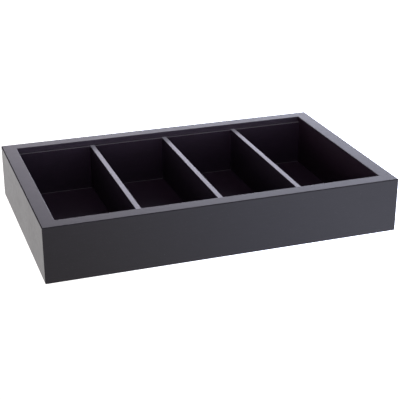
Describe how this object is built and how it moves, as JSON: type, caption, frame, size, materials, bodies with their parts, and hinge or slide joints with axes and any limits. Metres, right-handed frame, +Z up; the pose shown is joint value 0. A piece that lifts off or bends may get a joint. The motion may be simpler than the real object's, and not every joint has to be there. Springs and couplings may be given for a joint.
{
  "type": "divided buffet box",
  "caption": "Low open rectangular box of black lacquered wood with a broad flat rim, a narrow inner ledge and thin lift-out dividers that make equal compartments.",
  "frame": {"origin": "middle of the underside, on the surface that the box stands on", "axes": "+X along the long side to the right, +Y towards the back, +Z up"},
  "size_m": [0.555, 0.35, 0.087],
  "materials": {
    "black_lacquer": "black satin lacquer over smooth wood",
    "guide_lacquer": "black satin lacquer",
    "divider_lacquer": "black satin lacquer, finely sanded edges",
    "base_lacquer": "thin matt black lacquer on a fibre panel",
    "bare_beech": "bare planed beech",
    "zinc_steel": "bright zinc plate"
  },
  "bodies": {
    "box": {"front_board": "black_lacquer", "back_board": "black_lacquer", "left_board": "black_lacquer", "right_board": "black_lacquer", "base_panel": "base_lacquer", "front_guide_1": "guide_lacquer", "front_guide_2": "guide_lacquer", "front_guide_3": "guide_lacquer", "front_guide_4": "guide_lacquer", "back_guide_1": "guide_lacquer", "back_guide_2": "guide_lacquer", "back_guide_3": "guide_lacquer", "back_guide_4": "guide_lacquer", "corner_spline_1": "bare_beech", "corner_spline_2": "bare_beech", "corner_spline_3": "bare_beech", "corner_spline_4": "bare_beech", "base_screw_01": "zinc_steel", "base_screw_02": "zinc_steel", "base_screw_03": "zinc_steel", "base_screw_04": "zinc_steel", "base_screw_05": "zinc_steel", "base_screw_06": "zinc_steel", "base_screw_07": "zinc_steel", "base_screw_08": "zinc_steel", "base_screw_09": "zinc_steel", "base_screw_10": "zinc_steel"},
    "left_divider": {"divider_left": "divider_lacquer"},
    "middle_divider": {"divider_middle": "divider_lacquer"},
    "right_divider": {"divider_right": "divider_lacquer"}
  },
  "joints": [
    {"name": "left_divider_lift", "type": "slide", "parent": "box", "child": "left_divider", "axis": [0, 0, 1], "range_m": [0, 0.1]},
    {"name": "middle_divider_lift", "type": "slide", "parent": "box", "child": "middle_divider", "axis": [0, 0, 1], "range_m": [0, 0.1]},
    {"name": "right_divider_lift", "type": "slide", "parent": "box", "child": "right_divider", "axis": [0, 0, 1], "range_m": [0, 0.1]}
  ]
}
